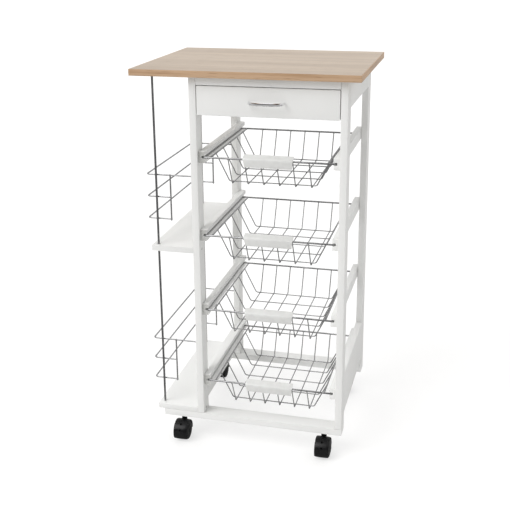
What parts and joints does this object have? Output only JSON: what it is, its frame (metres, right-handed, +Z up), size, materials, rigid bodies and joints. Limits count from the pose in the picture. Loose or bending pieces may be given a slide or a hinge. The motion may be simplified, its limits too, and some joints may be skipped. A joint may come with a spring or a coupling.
{
  "type": "rolling utility cart",
  "caption": "Narrow rolling kitchen cart: wood-effect top, drawer and sliding wire baskets in a white frame, open side shelves with guard rails, twin-wheel castors.",
  "frame": {"origin": "on the floor, under the centre of the bounding box", "axes": "+X to the right seen from the front, +Y to the rear, +Z up"},
  "size_m": [0.47, 0.3774, 0.837],
  "materials": {
    "worktop": "satin oak-effect laminate",
    "paint": "satin white paint",
    "wire": "polished plating",
    "handle": "polished plating",
    "grip": "satin moulded",
    "castor": "semi-gloss moulded",
    "wheel": "semi-gloss moulded",
    "axle": "plain"
  },
  "bodies": {
    "cart": {"tabletop": "worktop", "post_front_left": "paint", "post_front_right": "paint", "post_rear_left": "paint", "post_rear_right": "paint", "base_board_front": "paint", "base_board_rear": "paint", "lower_side_board_left": "paint", "lower_side_board_right": "paint", "top_side_rail_left": "paint", "top_side_rail_right": "paint", "top_rail_front": "paint", "top_rail_rear": "paint", "runner_left_1": "paint", "runner_right_1": "paint", "runner_left_2": "paint", "runner_right_2": "paint", "runner_left_3": "paint", "runner_right_3": "paint", "runner_left_4": "paint", "runner_right_4": "paint", "side_shelf_middle": "paint", "side_shelf_bottom": "paint", "shelf_rod_front": "wire", "shelf_rod_rear": "wire", "guard_rail_upper": "wire", "guard_rail_lower": "wire", "drawer_guide_left": "paint", "drawer_guide_right": "paint"},
    "basket_1": {"basket_1_wires": "wire", "basket_1_grip": "grip"},
    "basket_2": {"basket_2_wires": "wire", "basket_2_grip": "grip"},
    "basket_3": {"basket_3_wires": "wire", "basket_3_grip": "grip"},
    "basket_4": {"basket_4_wires": "wire", "basket_4_grip": "grip"},
    "drawer": {"drawer_front": "paint", "drawer_side_left": "paint", "drawer_side_right": "paint", "drawer_back": "paint", "drawer_bottom": "paint", "drawer_handle": "handle"},
    "castor_front_left": {"castor_front_left_hood": "castor", "castor_front_left_axle": "axle"},
    "wheel_front_left_left": {"castor_front_left_wheel_left": "wheel"},
    "wheel_front_left_right": {"castor_front_left_wheel_right": "wheel"},
    "castor_front_right": {"castor_front_right_hood": "castor", "castor_front_right_axle": "axle"},
    "wheel_front_right_left": {"castor_front_right_wheel_left": "wheel"},
    "wheel_front_right_right": {"castor_front_right_wheel_right": "wheel"},
    "castor_rear_left": {"castor_rear_left_hood": "castor", "castor_rear_left_axle": "axle"},
    "wheel_rear_left_left": {"castor_rear_left_wheel_left": "wheel"},
    "wheel_rear_left_right": {"castor_rear_left_wheel_right": "wheel"},
    "castor_rear_right": {"castor_rear_right_hood": "castor", "castor_rear_right_axle": "axle"},
    "wheel_rear_right_left": {"castor_rear_right_wheel_left": "wheel"},
    "wheel_rear_right_right": {"castor_rear_right_wheel_right": "wheel"}
  },
  "joints": [
    {"name": "basket_1_slide", "type": "slide", "parent": "cart", "child": "basket_1", "axis": [0, -1, 0], "range_m": [0, 0.2]},
    {"name": "basket_2_slide", "type": "slide", "parent": "cart", "child": "basket_2", "axis": [0, -1, 0], "range_m": [0, 0.2]},
    {"name": "basket_3_slide", "type": "slide", "parent": "cart", "child": "basket_3", "axis": [0, -1, 0], "range_m": [0, 0.2]},
    {"name": "basket_4_slide", "type": "slide", "parent": "cart", "child": "basket_4", "axis": [0, -1, 0], "range_m": [0, 0.2]},
    {"name": "drawer_slide", "type": "slide", "parent": "cart", "child": "drawer", "axis": [0, -1, 0], "range_m": [0, 0.22]},
    {"name": "castor_front_left_swivel", "type": "hinge", "parent": "cart", "child": "castor_front_left", "pos_m": [-0.1525, -0.14825, 0.057], "axis": [0, 0, 1], "continuous": true},
    {"name": "castor_front_left_spin_left", "type": "hinge", "parent": "castor_front_left", "child": "wheel_front_left_left", "pos_m": [-0.1525, -0.16125, 0.0215], "axis": [1, 0, 0], "continuous": true},
    {"name": "castor_front_left_spin_right", "type": "hinge", "parent": "castor_front_left", "child": "wheel_front_left_right", "pos_m": [-0.1525, -0.16125, 0.0215], "axis": [1, 0, 0], "continuous": true},
    {"name": "castor_front_right_swivel", "type": "hinge", "parent": "cart", "child": "castor_front_right", "pos_m": [0.1685, -0.14825, 0.057], "axis": [0, 0, 1], "continuous": true},
    {"name": "castor_front_right_spin_left", "type": "hinge", "parent": "castor_front_right", "child": "wheel_front_right_left", "pos_m": [0.1685, -0.16125, 0.0215], "axis": [1, 0, 0], "continuous": true},
    {"name": "castor_front_right_spin_right", "type": "hinge", "parent": "castor_front_right", "child": "wheel_front_right_right", "pos_m": [0.1685, -0.16125, 0.0215], "axis": [1, 0, 0], "continuous": true},
    {"name": "castor_rear_left_swivel", "type": "hinge", "parent": "cart", "child": "castor_rear_left", "pos_m": [-0.1525, 0.15575, 0.057], "axis": [0, 0, 1], "continuous": true},
    {"name": "castor_rear_left_spin_left", "type": "hinge", "parent": "castor_rear_left", "child": "wheel_rear_left_left", "pos_m": [-0.1525, 0.14275, 0.0215], "axis": [1, 0, 0], "continuous": true},
    {"name": "castor_rear_left_spin_right", "type": "hinge", "parent": "castor_rear_left", "child": "wheel_rear_left_right", "pos_m": [-0.1525, 0.14275, 0.0215], "axis": [1, 0, 0], "continuous": true},
    {"name": "castor_rear_right_swivel", "type": "hinge", "parent": "cart", "child": "castor_rear_right", "pos_m": [0.1685, 0.15575, 0.057], "axis": [0, 0, 1], "continuous": true},
    {"name": "castor_rear_right_spin_left", "type": "hinge", "parent": "castor_rear_right", "child": "wheel_rear_right_left", "pos_m": [0.1685, 0.14275, 0.0215], "axis": [1, 0, 0], "continuous": true},
    {"name": "castor_rear_right_spin_right", "type": "hinge", "parent": "castor_rear_right", "child": "wheel_rear_right_right", "pos_m": [0.1685, 0.14275, 0.0215], "axis": [1, 0, 0], "continuous": true}
  ]
}
